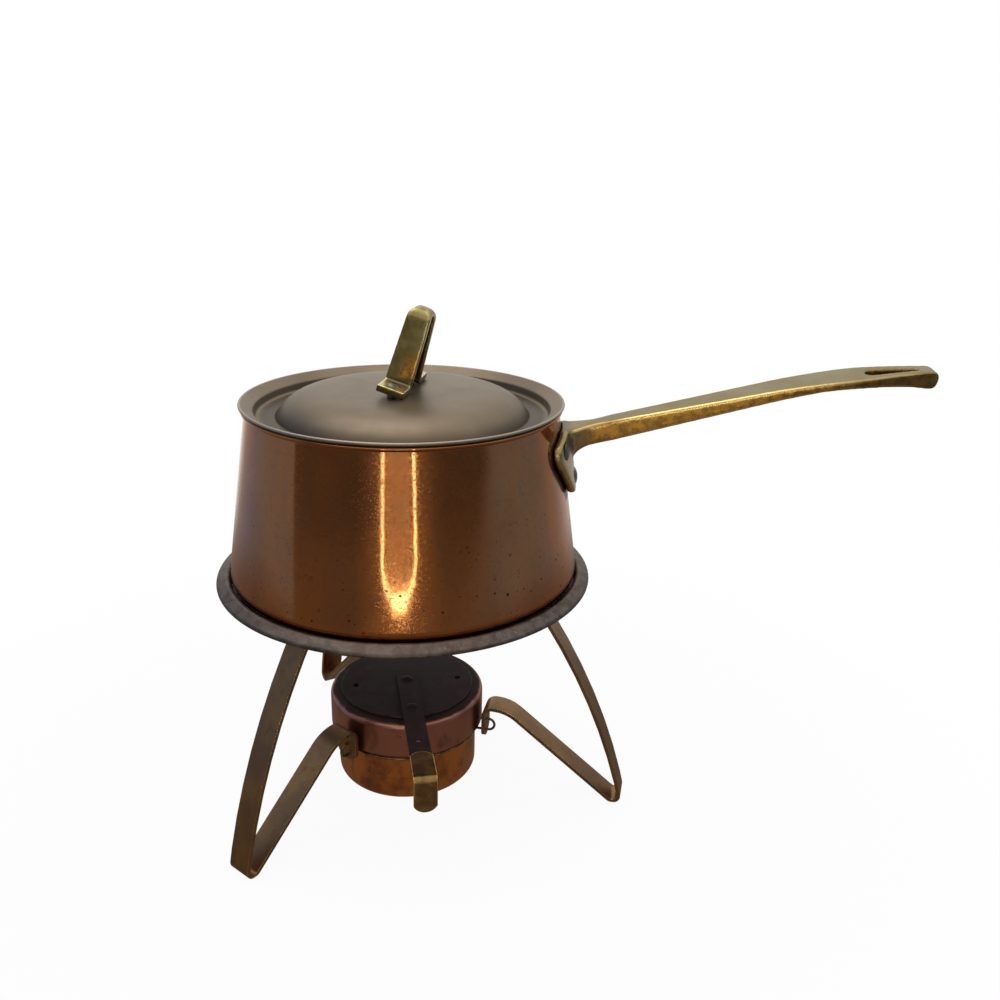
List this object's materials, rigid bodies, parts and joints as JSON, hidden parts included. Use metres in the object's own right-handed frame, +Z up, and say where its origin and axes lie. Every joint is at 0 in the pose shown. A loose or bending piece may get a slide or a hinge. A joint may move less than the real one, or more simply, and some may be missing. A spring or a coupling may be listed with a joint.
{
  "type": "fondue pot",
  "caption": "Copper fondue pot with a lift-off lid and a long brass handle, on a strip-legged tripod stand with a spirit burner whose damper turns.",
  "frame": {"origin": "on the table that the feet stand on, straight under the axis of the pot", "axes": "+X along the pot's handle seen from above, +Z up"},
  "size_m": [0.3071, 0.1734, 0.2283],
  "materials": {
    "pot_copper": "polished copper, browned with age",
    "lid_metal": "dull satin tinned copper",
    "handle_brass": "worn cast brass, olive in the hollows",
    "leg_brass": "tarnished brass strip with rubbed edges",
    "ring_metal": "dark mottled metal",
    "burner_copper": "heat-stained copper",
    "sooty_metal": "sooted, nearly black",
    "thumb_brass": "worn brass",
    "rivet_metal": "dull",
    "wire": "dark drawn wire",
    "packing": "mineral wool",
    "gauze": "sooted mesh"
  },
  "bodies": {
    "stand": {"stand_ring": "ring_metal", "front_leg": "leg_brass", "handle_side_leg": "leg_brass", "rear_leg": "leg_brass", "leg_rivets": "rivet_metal", "burner_hoop": "wire", "front_tie": "wire", "handle_side_tie": "wire", "rear_tie": "wire"},
    "pot": {"pot_body": "pot_copper", "pot_handle": "handle_brass", "handle_rivets": "rivet_metal"},
    "lid": {"lid_shell": "lid_metal", "lid_handle": "handle_brass", "lid_rivets": "rivet_metal"},
    "burner": {"burner_cup": "burner_copper", "burner_packing": "packing", "burner_gauze": "gauze"},
    "cap": {"burner_cap": "burner_copper", "pivot_washer": "rivet_metal"},
    "damper": {"damper_disc": "sooty_metal", "damper_lever": "sooty_metal", "damper_pivot": "sooty_metal", "damper_guide": "sooty_metal", "thumb_tab": "thumb_brass"}
  },
  "joints": [
    {"name": "pot_lift", "type": "slide", "parent": "stand", "child": "pot", "axis": [0, 0, 1], "range_m": [0, 0.1]},
    {"name": "lid_lift", "type": "slide", "parent": "pot", "child": "lid", "axis": [0, 0, 1], "range_m": [0, 0.1]},
    {"name": "burner_lift", "type": "slide", "parent": "stand", "child": "burner", "axis": [0, 0, 1], "range_m": [0, 0.025]},
    {"name": "cap_lift", "type": "slide", "parent": "burner", "child": "cap", "axis": [0, 0, 1], "range_m": [0, 0.02]},
    {"name": "damper_swing", "type": "hinge", "parent": "cap", "child": "damper", "pos_m": [0, 0, 0.0475], "axis": [0, 0, 1], "range_deg": [-15, 15]}
  ]
}
